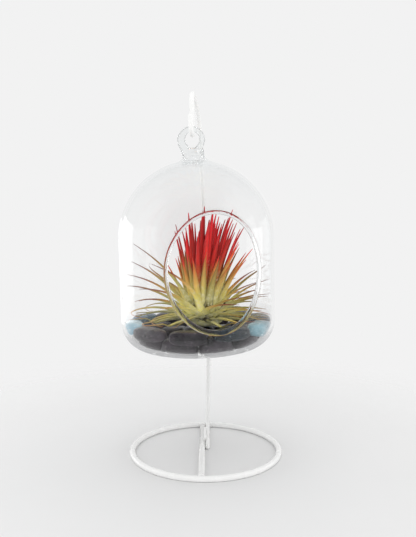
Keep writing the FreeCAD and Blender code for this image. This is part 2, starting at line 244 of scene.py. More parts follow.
# %% [markdown]
# ## Paint of the stand
#
# The wire is dipped or sprayed in gloss white. Such paint is never quite even: it has a faint orange peel
# and a slightly greyer tone where it is thin. A picture could show that, but a bent wire is hard to unwrap
# for it. Noise in the space of the model needs no unwrapping, so one cloud of it gives the tone and the
# gloss, a finer one gives the peel, and a thin clear coat lies over both.

# %% White paint
white_paint, start = new_material("white_paint")
cloud = grain(start, 90.0)
peel = grain(start, 900.0, 2.0)
shader = start.node("ShaderNodeBsdfPrincipled", {}, {
    "Base Color": cloud.mix(paint(247, 247, 246), paint(250, 250, 249)),
    "Roughness": cloud.between(0.3, 0.7, 0.2, 0.32),
    "Coat Weight": 0.4,
    "Coat Roughness": 0.08,
    "Normal": bumped(start, peel, 0.004 * mm, 0.06),
})
finish_material(start, shader)
print("paint ready")

# %% [markdown]
# ## Clear glass
#
# Glass bends what is behind it and mirrors the windows. Where it is seen edge on, the light has passed
# through more of it, so the tint deepens there, and the grey painted at the edges and along the rim is also
# painted shade for the dark lines that bent and mirrored light draws in real glass. A refracting shader
# does the bending and the mirroring, but the renderer looks for its lamps in straight lines, and such glass
# would shade the plant like a solid wall. So rays from the lamps to what is inside go straight through, as
# they nearly do in thin blown glass, and the plant is lit as brightly as the table. So do rays that have been
# caught in the wall and met more surfaces than a clear view needs, or the rim would turn black.

# %% Clear glass
caught_depth = 3.5


def clear_glass(name, edge_tint_and_shade, edge_power, rim_tint_and_shade, ripple, calm=0.0):
    """Blown glass with a faint ripple, its edges and rim painted grey: partly its tint, partly painted shade.

    Calm glass bends less of what is behind it: this share goes straight on where it is seen face on."""
    material, start = new_material(name)
    facing = start.node("ShaderNodeLayerWeight", {}, {"Blend": 0.5}, "Facing")
    rim = start.node("ShaderNodeAttribute", {"attribute_name": "rim"}, output="Fac")
    # Greys painted at the edges and on the rim: partly the glass's own tint, partly painted shade.
    wall_tint_and_shade = (facing ** edge_power).mix(paint(254, 254, 254), edge_tint_and_shade)
    bead_tint_and_shade = (facing ** 2.0).mix(paint(250, 251, 251), rim_tint_and_shade)
    glass_tint_and_shade = rim.mix(wall_tint_and_shade, bead_tint_and_shade)
    wave = grain(start, 60.0, 1.0)
    glass = start.node("ShaderNodeBsdfPrincipled", {}, {
        "Base Color": glass_tint_and_shade,
        "Roughness": 0.0,
        "IOR": 1.46,
        "Transmission Weight": 1.0,
        "Normal": bumped(start, wave, ripple),
    })
    open_air = start.node("ShaderNodeBsdfTransparent", {}, {"Color": paint(250, 251, 251)})
    shadow = start.node("ShaderNodeLightPath", output="Is Shadow Ray")
    diffuse = start.node("ShaderNodeLightPath", output="Is Diffuse Ray")
    trapped = start.node("ShaderNodeLightPath", output="Ray Depth").above(caught_depth)
    straight = shadow.larger(diffuse).larger(trapped).larger((1.0 - facing) * calm)
    mixed = start.node("ShaderNodeMixShader", {}, {0: straight, 1: glass, 2: open_air})
    finish_material(start, mixed)
    return material


# Painted shade, over the glass's own faint tint: the greys of the loop's edges and of the mouth's rim.
loop_edge_tint_and_shade = paint(104, 108, 112)
rim_tint_and_shade_grey = paint(120, 124, 126)
globe_glass = clear_glass(
    "globe_glass", edge_tint_and_shade=paint(238, 240, 241), edge_power=4.5, rim_tint_and_shade=rim_tint_and_shade_grey, ripple=0.04 * mm
)
loop_glass = clear_glass(
    "loop_glass", edge_tint_and_shade=loop_edge_tint_and_shade, edge_power=1.8, rim_tint_and_shade=loop_edge_tint_and_shade, ripple=0.004 * mm, calm=0.85
)
melted_joint, start = new_material("melted_joint")
finish_material(start, start.node("ShaderNodeBsdfTransparent", {}, {"Color": (1.0, 1.0, 1.0, 1.0)}))
print("glass ready")

# %% [markdown]
# ## Stones
#
# River pebbles are tumbled until they shine. The dark ones are charcoal with a violet cast, faint clouds and
# a few pale flecks. One picture of stone on all of them would repeat. Instead all are carved, as it were,
# from one block of noise, and as each lies elsewhere in it, no two look alike.

# %% Stones
def stone(name, dark, light, fleck, shine):
    """Tumbled stone between two tones, with flecks and a worn shine."""
    material, start = new_material(name)
    cloud = grain(start, 85.0, 5.0)
    fine = grain(start, 420.0, 3.0, seed=0.3)
    dots = start.node("ShaderNodeTexVoronoi", {}, {
        "Vector": start.node("ShaderNodeTexCoord", output="Object"), "Scale": 440.0,
    })
    base = cloud.between(0.32, 0.68).mix(dark, light)
    speckled = (dots.between(0.3, 0.14) * fine.between(0.46, 0.58)).mix(base, fleck)
    shader = start.node("ShaderNodeBsdfPrincipled", {}, {
        "Base Color": speckled,
        "Roughness": fine.between(0.3, 0.7, shine, shine + 0.14),
        "Specular IOR Level": 0.28,
        "Coat Weight": 0.1,
        "Coat Roughness": 0.12,
        "Normal": bumped(start, fine, 0.1 * mm, 0.4),
    })
    finish_material(start, shader)
    return material


charcoal = stone("charcoal_stone", paint(6, 4, 7), paint(68, 60, 67), paint(112, 105, 110), 0.26)
pale_blue = stone("pale_blue_stone", paint(126, 172, 194), paint(186, 214, 226), paint(226, 236, 240), 0.16)
slate_blue = stone("slate_blue_stone", paint(58, 82, 102), paint(98, 126, 146), paint(150, 172, 184), 0.2)
pale_teal = stone("pale_teal_stone", paint(70, 114, 128), paint(130, 170, 182), paint(200, 220, 226), 0.18)
deep_teal = stone("deep_teal_stone", paint(20, 28, 34), paint(42, 54, 62), paint(110, 124, 130), 0.24)
print("stones ready")

# %% [markdown]
# ## Leaves
#
# The colour of a leaf follows its length, whichever way it bends, which noise in space can't do. So the
# leaves carry three numbers in their mesh: how far along the leaf a point is, how near its edge, and a tone
# of the leaf's own. The colour runs from yellow-green at the base through orange to crimson, sooner in the
# heart than in the skirt. Pale scales cover the leaf and give it its frosted look, and edges are darker. The
# very foot is painted dark, a painted shade where the leaves crowd together.

# %% Leaf finishes
def leaf_finish(name, *stops):
    """Colours along the leaf, frosted with pale scales that thin out towards the tip."""
    material, start = new_material(name)
    along = start.node("ShaderNodeAttribute", {"attribute_name": "along"}, output="Fac")
    tone = start.node("ShaderNodeAttribute", {"attribute_name": "tone"}, output="Fac")
    edge = start.node("ShaderNodeAttribute", {"attribute_name": "edge"}, output="Fac")
    scales = grain(start, 440.0, 4.0)
    cloud = grain(start, 160.0, 2.0, seed=0.7)
    shifted = along + (tone - 0.5) * 0.2 + (cloud - 0.5) * 0.16
    base = shifted.ramp(*stops)
    toned = (tone * 0.7 + 0.62) * (cloud * 0.6 + 0.74) * (1.0 - edge * edge * 0.36) * base
    frost = scales.between(0.46, 0.62) * along.between(0.6, 0.06, 0.0, 0.85) * (1.0 - edge * 0.6)
    shader = start.node("ShaderNodeBsdfPrincipled", {}, {
        "Base Color": frost.mix(toned, paint(248, 244, 220)),
        "Roughness": scales.between(0.3, 0.7, 0.5, 0.68),
        "Specular IOR Level": 0.3,
        "Sheen Weight": 0.05,
        "Sheen Roughness": 0.5,
        "Normal": bumped(start, scales, 0.1 * mm, 0.6),
    })
    finish_material(start, shader)
    return material


# The first stop of every leaf is a dark olive: painted shade at the foot, where the leaves crowd together.
crevice_shade = paint(104, 96, 50)
pale_base = paint(246, 243, 182)
gold = paint(226, 214, 126)
tan = paint(206, 158, 88)
orange = paint(206, 112, 58)
scarlet = paint(222, 58, 48)
crimson = paint(204, 28, 38)
rust = paint(150, 78, 58)
thread = paint(112, 56, 46)
heart_finish = leaf_finish(
    "heart_leaf", (0.0, crevice_shade), (0.12, tan), (0.24, orange), (0.36, scarlet), (1.0, crimson)
)
inner_finish = leaf_finish(
    "inner_leaf", (0.0, crevice_shade), (0.1, gold), (0.26, tan), (0.44, orange), (0.6, scarlet), (1.0, crimson)
)
middle_finish = leaf_finish(
    "middle_leaf", (0.0, crevice_shade), (0.12, pale_base), (0.34, gold), (0.66, tan), (0.86, orange),
    (1.0, scarlet)
)
outer_finish = leaf_finish(
    "outer_leaf", (0.0, crevice_shade), (0.1, pale_base), (0.34, gold), (0.62, tan), (0.82, rust), (1.0, thread)
)
skirt_finish = leaf_finish(
    "skirt_leaf", (0.0, crevice_shade), (0.08, pale_base), (0.5, gold), (0.86, tan), (1.0, rust)
)
bulb_finish = leaf_finish("bulb", (0.0, pale_base), (0.5, gold), (1.0, gold))
print("leaf finishes ready")

# %% [markdown]
# ## Helpers for meshes
#
# Most pieces are skins over rings of points: a lathed bowl, a bent rod, a leaf. Modifiers could turn and
# sweep them, but rings that are worked out in Python keep to exact sizes and put faces where they are
# wanted. One function joins rings into faces, and one puts a finished piece on the body that carries it and
# in place of its node.

# %% Skins over rings of points
def skin(rings, endless=False):
    """Points and faces over rings of points. An endless skin closes on itself, the others get end faces."""
    sides = len(rings[0])
    points = [point for ring in rings for point in ring]
    faces = []
    for span in range(len(rings) if endless else len(rings) - 1):
        low = span * sides
        high = (span + 1) % len(rings) * sides
        for side in range(sides):
            after = (side + 1) % sides
            faces.append((low + side, low + after, high + after, high + side))
    if not endless:
        faces.append(tuple(range(sides))[::-1])
        faces.append(tuple(range(len(points) - sides, len(points))))
    return points, faces


def linked(name, data):
    """A new object in the scene that shows this mesh or lamp."""
    made = bpy.data.objects.new(name, data)
    bpy.context.scene.collection.objects.link(made)
    return made


def mesh_object(name, points, faces):
    """An object with this closed skin, its faces turned outwards and shaded smooth."""
    mesh = bpy.data.meshes.new(name)
    mesh.from_pydata([tuple(point) for point in points], [], faces)
    work = bmesh.new()
    work.from_mesh(mesh)
    bmesh.ops.recalc_face_normals(work, faces=work.faces)
    work.to_mesh(mesh)
    work.free()
    mesh.shade_smooth()
    return linked(name, mesh)


def marked(thing, **numbers):
    """Writes numbers for every point of a mesh, for materials to read by name."""
    for title, values in numbers.items():
        thing.data.attributes.new(title, "FLOAT", "POINT").data.foreach_set("value", values)


def measured_skin(node):
    """The skin of a measured piece with its corners joined, ready for work."""
    work = bmesh.new()
    work.from_mesh(frame["nodes"][node].data)
    bmesh.ops.remove_doubles(work, verts=work.verts, dist=0.01 * mm)
    return work


def mesh_from(work, name):
    """A mesh of what the work has made."""
    mesh = bpy.data.meshes.new(name)
    work.to_mesh(mesh)
    work.free()
    return mesh


# %% Finished pieces on their bodies
def applied(thing):
    """Keeps what the modifiers of an object make of its mesh."""
    graph = bpy.context.evaluated_depsgraph_get()
    mesh = bpy.data.meshes.new_from_object(thing.evaluated_get(graph))
    thing.modifiers.clear()
    thing.data = mesh
    return thing


def seated(thing, body, node, material):
    """Gives a piece its finish, the body that carries it and the node that it stands for."""
    thing.data.materials.clear()
    thing.data.materials.append(material)
    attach(thing, body)
    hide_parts(node)


# %% [markdown]
# ## Stand
#
# The ring, the bar, the upright with its crook and the weld beads are right as they were measured, but their
# surfaces are made of flat facets, and a bent wire shows them. Each piece is copied with its corners joined
# and shaded smooth, so that the paint runs evenly round the wire and only the cut ends keep a sharp edge.
# New wires could be swept along curves, but the copies lie where the measured ones lie without more sizes.

# %% Stand
cut_edge_angle = math.radians(40)


def evened(node):
    """A copy of a measured piece, shaded smooth except over its sharp edges."""
    mesh = mesh_from(measured_skin(node), f"painted_{node}")
    mesh.shade_smooth()
    mesh.set_sharp_from_angle(angle=cut_edge_angle)
    return linked(f"painted_{node}", mesh)


stand_nodes = frame["record"]["behaviour"]["bodies"]["stand"]
for node in stand_nodes:
    seated(evened(node), "stand", node, white_paint)
print("painted", len(stand_nodes), "pieces of the stand")

# %% [markdown]
# ## Globe
#
# A cloche is blown as a bubble, let down to a round heel, and its mouth is cut hot and melted back to a
# round bead, which is thickest at the bottom, where the glass ran down. Here the outside and the inside are
# lathed skins. The inside is taken out of the outside, an oval block opens the mouth, and a rod bent along
# the cut edge is melted on as the bead. A mouth could be pulled out of the skin by hand, but cutting it
# leaves the wall even and the oval true.

# %% Globe
round_steps = 224
heel_steps = 18
wall_steps = 14
dome_steps = 44
mouth_steps = 160
bead_sides = 20
bead_swell = 0.45


def arc(centre_reach, centre_height, radius, first, last, steps):
    """Reach and height along an arc of the side view, with angles in degrees up from level."""
    angles = [math.radians(first + (last - first) * step / steps) for step in range(steps + 1)]
    return [(centre_reach + radius * math.cos(a), centre_height + radius * math.sin(a)) for a in angles]


def lathed(name, profile):
    """A closed skin turned about the globe's axis."""
    turns = [2 * math.pi * step / round_steps for step in range(round_steps)]
    rings = [
        [Vector((reach * math.cos(t), reach * math.sin(t), height)) for t in turns]
        for reach, height in profile
    ]
    return mesh_object(name, *skin(rings))


def globe_profile(inset, bottom, top, top_angle):
    """Side view of the outside, or of the inside at this inset, from the floor's middle up to the top."""
    radius = globe_radius - inset
    heel = heel_radius - inset
    wall_low = bottom + heel
    wall_height = dome_centre - wall_low
    flat = [(reach * mm, bottom) for reach in (2.0, 10.0, 18.0, 26.0)]
    low = arc(radius - heel, wall_low, heel, -90.0, 0.0, heel_steps)
    wall = [(radius, wall_low + wall_height * step / wall_steps) for step in range(1, wall_steps)]
    dome = arc(0.0, dome_centre, radius, 0.0, top_angle, dome_steps)
    return flat + low + wall + dome + top


seat_flare = [
    (11.6 * mm, 120.15 * mm), (10.4 * mm, 120.6 * mm), (9.4 * mm, 121.1 * mm), (8.7 * mm, 121.6 * mm),
    (seat_radius, seat_height - 0.15 * mm), (seat_radius - 0.3 * mm, seat_height),
    (stump_foot, seat_height), (2.0 * mm, seat_height),
]
inside_top = [(1.0 * mm, globe_height - glass_wall)]
outside = lathed("globe_shell", globe_profile(0.0, 0.0, seat_flare, 75.0))
inside = lathed("globe_inside", globe_profile(glass_wall, glass_floor, inside_top, 88.0))
print("lathed skins of", len(outside.data.polygons), "and", len(inside.data.polygons), "faces")


# %% Mouth
def mouth_point(turn):
    """Place on the middle of the wall, at this angle round the mouth."""
    across = mouth_half_width * math.cos(turn)
    height = mouth_centre + mouth_half_height * math.sin(turn)
    radius = globe_radius - glass_wall / 2
    if height > dome_centre:
        radius = math.sqrt(radius ** 2 - (height - dome_centre) ** 2)
    if height < heel_radius:
        heel = heel_radius - glass_wall / 2
        radius += math.sqrt(heel ** 2 - (heel_radius - height) ** 2) - heel
    ahead = math.sqrt(radius ** 2 - across ** 2)
    return mouth_out * ahead + mouth_left * across + Vector((0.0, 0.0, height))


def bead():
    """The melted edge of the mouth: a round rod along the cut."""
    rings = []
    for step in range(mouth_steps):
        turn = 2 * math.pi * step / mouth_steps
        centre = mouth_point(turn)
        along = (mouth_point(turn + 0.01) - mouth_point(turn - 0.01)).normalized()
        flat_out = Vector((centre.x, centre.y, max(centre.z - dome_centre, 0.0))).normalized()
        side = along.cross(flat_out).normalized()
        outward = side.cross(along)
        angles = [2 * math.pi * number / bead_sides for number in range(bead_sides)]
        lowness = (1.0 - math.sin(turn)) / 2
        thick = mouth_bead / 2 * (1.0 + bead_swell * lowness ** 3)
        rings.append([centre + (side * math.cos(a) + outward * math.sin(a)) * thick for a in angles])
    return mesh_object("mouth_bead", *skin(rings, True))


def mouth_block():
    """The oval block that opens the mouth, from near the axis to well outside the glass."""
    near, far = [], []
    for step in range(mouth_steps):
        point = mouth_point(2 * math.pi * step / mouth_steps)
        ahead = point.dot(mouth_out)
        near.append(point - mouth_out * (ahead - 15.0 * mm))
        far.append(point + mouth_out * (70.0 * mm - ahead))
    return mesh_object("mouth_block", *skin([near, far]))


# %% Cut the mouth and melt the bead on
block = mouth_block()
rim = bead()
for tool, operation in ((inside, "DIFFERENCE"), (block, "DIFFERENCE"), (rim, "UNION")):
    cut = outside.modifiers.new(operation, "BOOLEAN")
    cut.operation = operation
    cut.solver = "EXACT"
    cut.object = tool
globe = applied(outside)
for tool in (inside, block, rim):
    bpy.data.objects.remove(tool)
print("cut and melted globe of", len(globe.data.polygons), "faces")


# %% Finish of the globe
def rim_share(point):
    """One on the mouth's bead and nought away from it."""
    if point.dot(mouth_out) < 0.0:
        return 0.0
    across = point.dot(mouth_left) / mouth_half_width
    up = (point.z - mouth_centre) / mouth_half_height
    beside = abs(math.hypot(across, up) - 1.0) * mouth_half_width
    return 1.0 if beside < 0.8 * mouth_bead else 0.0


def melted(thing, side):
    """Lets light straight through the flat faces where the loop's stump and the globe are one glass.

    Side is 1 for faces that look up and -1 for faces that look down."""
    thing.data.materials.append(melted_joint)
    for face in thing.data.polygons:
        flat = face.normal.z * side > 0.9 and abs(face.center.z - seat_height) < 0.3 * mm
        if flat and math.hypot(face.center.x, face.center.y) < stump_foot:
            face.material_index = 1


rims = [rim_share(vertex.co) for vertex in globe.data.vertices]
marked(globe, rim=rims)
seated(globe, "globe", "glass_globe", globe_glass)
melted(globe, 1.0)
globe.data.transform(hung)
globe.data.shade_smooth()
globe.data.set_sharp_from_angle(angle=math.radians(34))
print("globe has", len(globe.data.vertices), "points,", round(sum(rims)), "of them on the mouth's bead")

# %% [markdown]
# ## Loop
#
# The loop is drawn out of a hot rod: it leaves the stump thick on the left, thins over the top, and its end
# is pressed down on the stump on the right. The two are then one lump of glass, so the rod and the stump are
# remeshed together and smoothed, where a plain union would leave a crease between them. The numbers of the
# rod, the eye and the stump are in millimetres, and angles are in degrees round the eye.

# %% Glass loop
rod_marks = (
    (-125.0, 5.0), (-150.0, 5.5), (-180.0, 5.3), (-225.0, 4.2), (-270.0, 3.4),
    (-315.0, 3.6), (-360.0, 3.9), (-400.0, 3.8), (-440.0, 3.3), (-462.0, 2.6),
)
rod_steps = 84
rod_sides = 20
stump_sides = 40
eye_half_width = 4.35
eye_up = 4.7
eye_down = 5.1
blunt_end = 0.35
lap_from = 0.8
lap_reach = 0.8
melt_grain = 0.2 * mm
melt_rounds = 40


def rod_at(angle):
    """Thickness of the loop's rod at an angle round the eye, between the marks."""
    for (first, thick), (last, thin) in zip(rod_marks, rod_marks[1:]):
        if last <= angle <= first:
            share = (first - angle) / (first - last)
            smooth = share * share * (3 - 2 * share)
            return thick + (thin - thick) * smooth
    return rod_marks[-1][1]


def loop_rod():
    """Rings round the loop's rod, from the stump's left over the top and down on the right.

    The rod's end narrows to a blunt tip and laps over the front of the stump."""
    rings = []
    for step in range(rod_steps + 1):
        angle = rod_marks[0][0] + (rod_marks[-1][0] - rod_marks[0][0]) * step / rod_steps
        turn = math.radians(angle)
        eye_half_height = eye_up if math.sin(turn) > 0 else eye_down
        reach = Vector((math.cos(turn) * eye_half_width, 0.0, math.sin(turn) * eye_half_height))
        away = reach.normalized()
        thick = rod_at(angle)
        closing = min(1.0, 4.0 * (rod_steps - step) / rod_steps + blunt_end)
        lap = lap_reach * max(0.0, (step / rod_steps - lap_from) / 0.2)
        centre = eye_centre + (reach + away * (thick / 2) + Vector((0.0, -lap, 0.0))) * mm
        half = thick / 2 * closing * mm
        angles = [2 * math.pi * number / rod_sides for number in range(rod_sides)]
        depth = Vector((0.0, 1.0, 0.0))
        rings.append([centre + (away * math.cos(a) + depth * math.sin(a)) * half for a in angles])
    return skin(rings)


def stump():
    """Rings of the stump, from the seat up to the loop: round below, thin from front to back above."""
    levels = (
        (0.0, -6.8, 6.6, 6.6), (0.8, -7.5, 7.0, 6.5), (2.2, -7.8, 6.7, 5.6),
        (3.8, -8.2, 6.4, 4.5), (5.4, -8.7, 6.2, 3.5), (6.8, -8.6, 5.6, 2.6),
    )
    rings = []
    for height, left, right, half_depth in levels:
        middle, half_width = (left + right) / 2, (right - left) / 2
        turns = [2 * math.pi * number / stump_sides for number in range(stump_sides)]
        level = seat_height / mm + height
        rings.append([
            Vector((middle + half_width * math.cos(t), half_depth * math.sin(t), level)) * mm for t in turns
        ])
    return skin(rings)


# %% Melt the rod and the stump together
rod_points, rod_faces = loop_rod()
stump_points, stump_faces = stump()
start_number = len(rod_points)
both_faces = rod_faces + [tuple(corner + start_number for corner in face) for face in stump_faces]
loop = mesh_object("glass_eye", rod_points + stump_points, both_faces)
remesh = loop.modifiers.new("melt", "REMESH")
remesh.mode = "VOXEL"
remesh.voxel_size = melt_grain
relax = loop.modifiers.new("flow", "SMOOTH")
relax.factor = 0.5
relax.iterations = melt_rounds
applied(loop)
seated(loop, "globe", "glass_loop", loop_glass)
melted(loop, -1.0)
loop.data.transform(hung)
loop.data.shade_smooth()
print("loop of", len(loop.data.polygons), "faces")

# %% [markdown]
# ## Pebbles
#
# New stones could be dropped into the globe and left to settle. Each measured pebble is coarse but already
# lies right, so it is kept. Its skin is made even and rounded by subdivision. It is then made fuller, up to
# its neighbours and the glass, because stones settle until their bed has no wide gaps. Last, slow noise
# pushes it in and out a little, as water wears a stone.
#
# The table of widenings says how much wider the stones of each layer are made: across their ring, along it,
# upwards and downwards. Fullness is the power of a rounded box: at 2 a stone is an ellipsoid.

# %% Pebbles
unhung = hung.inverted()
inner_radius = globe_radius - glass_wall
rounding = 3
stone_fullness = 2.8
widenings = {
    "floor": (1.34, 1.08, 1.03, 1.5),
    "inner": (1.4, 1.16, 1.03, 1.2),
    "middle": (1.3, 1.5, 1.03, 1.2),
}
upper_widening = (1.1, 1.06, 1.03, 1.15)
floor_spreading = 0.3
wear_scale = 90.0
wear_depth = 0.3
stone_gap = 0.2 * mm
bead_gap = 1.4 * mm
bead_sector = 40.0
bead_foot = 14.0 * mm


def near_mouth(point, width):
    """Whether a point lies within this many degrees of the middle of the mouth."""
    bearing = math.degrees(math.atan2(point.x, -point.y))
    return abs(bearing - math.degrees(mouth_turn)) < width


def inside_glass(point):
    """A point pulled in where it would reach into the glass or the bead of the mouth."""
    heel = heel_radius - glass_wall
    level = glass_floor + heel
    room = inner_radius
    if point.z < level:
        room = inner_radius - heel + math.sqrt(max(heel ** 2 - (level - point.z) ** 2, 0.0))
    room -= stone_gap
    if near_mouth(point, bead_sector) and point.z > bead_foot:
        room -= bead_gap
    reach = math.hypot(point.x, point.y)
    share = min(1.0, room / max(reach, mm))
    return Vector((point.x * share, point.y * share, max(point.z, glass_floor + 0.1 * mm)))


def worn(node):
    """A smooth worn stone in the place of a measured one."""
    work = measured_skin(node)
    bmesh.ops.join_triangles(
        work, faces=work.faces, angle_face_threshold=math.pi, angle_shape_threshold=math.pi
    )
    made = linked(f"worn_{node}", mesh_from(work, node))
    made.modifiers.new("round", "SUBSURF").levels = rounding
    applied(made)
    made.data.transform(unhung)
    points = [vertex.co.copy() for vertex in made.data.vertices]
    centre = sum(points, Vector()) / len(points)
    outward = Vector((centre.x, centre.y, 0.0)).normalized()
    axes = (outward, Vector((-outward.y, outward.x, 0.0)), Vector((0.0, 0.0, 1.0)))
    layer = node.split("_")[0]
    across, along, upwards, downwards = widenings.get(layer, upper_widening)
    spreading = floor_spreading if layer == "floor" else 0.0
    halves = [max(abs((point - centre).dot(axis)) for point in points) for axis in axes]
    for vertex, point in zip(made.data.vertices, points):
        shares = [(point - centre).dot(axis) / half for axis, half in zip(axes, halves)]
        round_size = math.sqrt(sum(share ** 2 for share in shares))
        full_size = sum(abs(share) ** stone_fullness for share in shares) ** (1 / stone_fullness)
        fuller = round_size / full_size
        low = max(-shares[2], 0.0)
        growth = (across, along + spreading * low, upwards if low == 0.0 else downwards)
        moved = sum((axis * (share * half * wider * fuller)
                     for axis, share, half, wider in zip(axes, shares, halves, growth)), Vector())
        wear = noise.noise(point * wear_scale) * wear_depth * mm
        vertex.co = inside_glass(centre + moved + moved.normalized() * wear)
    made.data.transform(hung)
    made.data.shade_smooth()
    return made


# %% Pebbles in their bed
pebble_nodes = sorted(name for name in frame["nodes"] if "pebble" in name)
coloured = {
    "blue_pebble_1": (pale_blue, "blue_stone"),
    "blue_pebble_2": (slate_blue, "blue_stone"),
    "top_pebble_3": (pale_blue, "blue_stone"),
    "teal_pebble_1": (deep_teal, "teal_stone"),
    "teal_pebble_2": (deep_teal, "teal_stone"),
    "teal_pebble_3": (pale_teal, "teal_stone"),
}
for node in pebble_nodes:
    finish, slot = coloured.get(node, (charcoal, "charcoal_stone"))
    seated(worn(node), "globe", node, finish)
print(len(pebble_nodes), "pebbles worn smooth")

# %% [markdown]
# ## Plant
#
# An air plant is a spiral of leaves. Each new leaf comes out a golden turn on from the last, clasps the ones
# inside it with a broad pale base, and then bends outwards and narrows to a thread. The oldest leaves hang
# over the stones, and a few have curled at the tip. A few leaves could be modelled and copied round the
# stem, but those drawn one by one never repeat, and each keeps clear of the glass by itself: where it would
# reach the glass, at rest or when the plant is lifted, it is made shorter, and by more near the mouth.

# %% Room for the leaves
plant_lift = 8.0 * mm
core_low, core_high = (Vector(corner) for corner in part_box("plant_core"))
core_middle = unhung @ ((core_low + core_high) / 2)
core_half_height = 13.0 * mm
core_foot = core_middle.z - core_half_height
bed_top = 19.6 * mm
bed_middle_reach = 28.0 * mm
bed_slope_width = 8.0 * mm
bed_hollow = 4.0 * mm
bed_gap = 1.1 * mm
leaf_gap = 1.0 * mm
mouth_sector = 45.0
mouth_low = 32.0 * mm
mouth_gap = 8.0 * mm
sill_gap = 2.5 * mm


def room_at(point):
    """How far from the globe's axis a leaf may reach at this height, at rest or lifted."""
    over = max(point.z + plant_lift - dome_centre, 0.0)
    room = math.sqrt(max(inner_radius ** 2 - over ** 2, 0.0)) - leaf_gap
    if near_mouth(point, mouth_sector):
        room -= mouth_gap if point.z > mouth_low else sill_gap
    return room


def bed_at(point):
    """Lowest height of a leaf's middle over the stones at this distance from the axis."""
    reach = math.hypot(point.x, point.y)
    share = min(max((reach - bed_middle_reach) / bed_slope_width, 0.0), 1.0)
    return bed_top - (1.0 - share) * bed_hollow + bed_gap


print("the plant stands", round(core_foot / mm, 1), "mm above the globe's foot")

# %% Leaves
golden_turn = 137.508
leaf_steps = 26
leaf_across = (-1.0, -0.66, -0.33, 0.0, 0.33, 0.66, 1.0)
curl_from = 0.6
curl_narrowing = 0.45
parted_angle = 72.0
plant_lean = 4.5 * mm
shortening = 0.965
clasp_share = 0.2
clasp_widening = 0.4
tip_share = 0.012
channel_depth = 0.42
up = Vector((0.0, 0.0, 1.0))
rng = random.Random(7)


def leaf_line(base, turn, rises, length, swirl, curl):
    """Stations along the middle of a leaf: place, direction to the side and direction of the upper face."""
    stations = []
    point = base.copy()
    for step in range(leaf_steps + 1):
        share = step / leaf_steps
        heading = math.radians(turn + swirl * share + curl * max(share - curl_from, 0.0) ** 2)
        rise = math.radians(rises[0] + (rises[1] - rises[0]) * share ** 0.85)
        outward = Vector((math.cos(heading), math.sin(heading), 0.0))
        side = Vector((-math.sin(heading), math.cos(heading), 0.0))
        upper = up * math.cos(rise) - outward * math.sin(rise)
        lifted = Vector((point.x + plant_lean * share ** 2, point.y, max(point.z, bed_at(point))))
        stations.append((lifted, side, upper))
        onward = outward * math.cos(rise) + up * math.sin(rise)
        point = point + onward * (length / leaf_steps)
    return stations


def leaf_skin(base, turn, rises, length, width, taper, swirl, curl):
    """A channelled leaf: a broad clasping base, a narrow blade and a thread-like tip, inside the glass.

    Returns its skin, how far along the leaf each point is, and how near its edge."""
    for _ in range(60):
        stations = leaf_line(base, turn, rises, length, swirl, curl)
        if all(math.hypot(p.x, p.y) < room_at(p) for p, _, _ in stations):
            break
        length *= shortening
    rings, shares, edges = [], [], []
    for number, (point, side, upper) in enumerate(stations):
        share = number / leaf_steps
        clasp = 1.0 + clasp_widening * max(1.0 - share / clasp_share, 0.0)
        half = width / 2 * clasp * max(1.0 - share, tip_share) ** taper
        thick = (0.75 - 0.5 * share) * mm
        cup = channel_depth * half * (1.0 + 0.8 * share)
        top = [point + side * (u * half) + upper * (cup * u * u) for u in leaf_across]
        low = [
            point + side * (u * half) + upper * (cup * u * u) - upper * (thick * (1.05 - u * u))
            for u in leaf_across[::-1]
        ]
        rings.append(top + low)
        shares += [share] * (2 * len(leaf_across))
        edges += [abs(u) for u in leaf_across + leaf_across[::-1]]
    points, faces = skin(rings)
    return points, faces, shares, edges


# %% Tiers of leaves
def rosette(name, count, first_number, foot, reach, rises, length, width, taper, spread, material,
            curled=(), curling=1.0, parted=False):
    """One tier of leaves on the golden spiral, as one piece.

    Foot and reach say where the leaves begin, in millimetres, and rises how steeply they begin and end, in
    degrees, each from the first leaf of the tier to its last. Curled names the leaves whose tips curl, and
    curling says how much. Parted leaves turn aside in front of the mouth."""
    points, faces, along, tones, edge = [], [], [], [], []
    for number in range(count):
        share = number / max(count - 1, 1)
        turn = (first_number + number) * golden_turn + rng.uniform(-5.0, 5.0)
        radians = math.radians(turn)
        height = core_foot + (foot[0] + (foot[1] - foot[0]) * share) * mm
        out = (reach[0] + (reach[1] - reach[0]) * share) * mm
        base = Vector((
            core_middle.x + out * math.cos(radians), core_middle.y + out * math.sin(radians), height,
        ))
        aside = (turn + 90.0 + 180.0) % 360.0 - 180.0
        parting = math.copysign(max(parted_angle - abs(aside), 0.0), aside) if parted else 0.0
        lift = rng.uniform(-spread, spread)
        base_rise = rises[0][0] + (rises[0][1] - rises[0][0]) * share + lift * 0.4
        tip_rise = rises[1][0] + (rises[1][1] - rises[1][0]) * share + lift
        size = length * rng.uniform(0.86, 1.06)
        if number in curled:
            curl = rng.choice((-1.0, 1.0)) * rng.uniform(1200.0, 2000.0) * curling
            narrowing = taper + curl_narrowing
        else:
            curl = rng.uniform(-160.0, 160.0)
            narrowing = taper
        broad = width * rng.uniform(0.88, 1.1)
        swirl = rng.uniform(-9.0, 13.0) + parting
        made, skin_faces, shares, edges = leaf_skin(
            base, turn, (base_rise, tip_rise), size * mm, broad * mm, narrowing, swirl, curl
        )
        offset = len(points)
        points += made
        faces += [tuple(corner + offset for corner in face) for face in skin_faces]
        along += shares
        edge += edges
        tones += [rng.random()] * len(made)
    tier = mesh_object(f"{name}_blades", points, faces)
    marked(tier, along=along, tone=tones, edge=edge)
    tier.data.transform(hung)
    seated(tier, "plant", name, material)
    print(name, "has", count, "leaves")


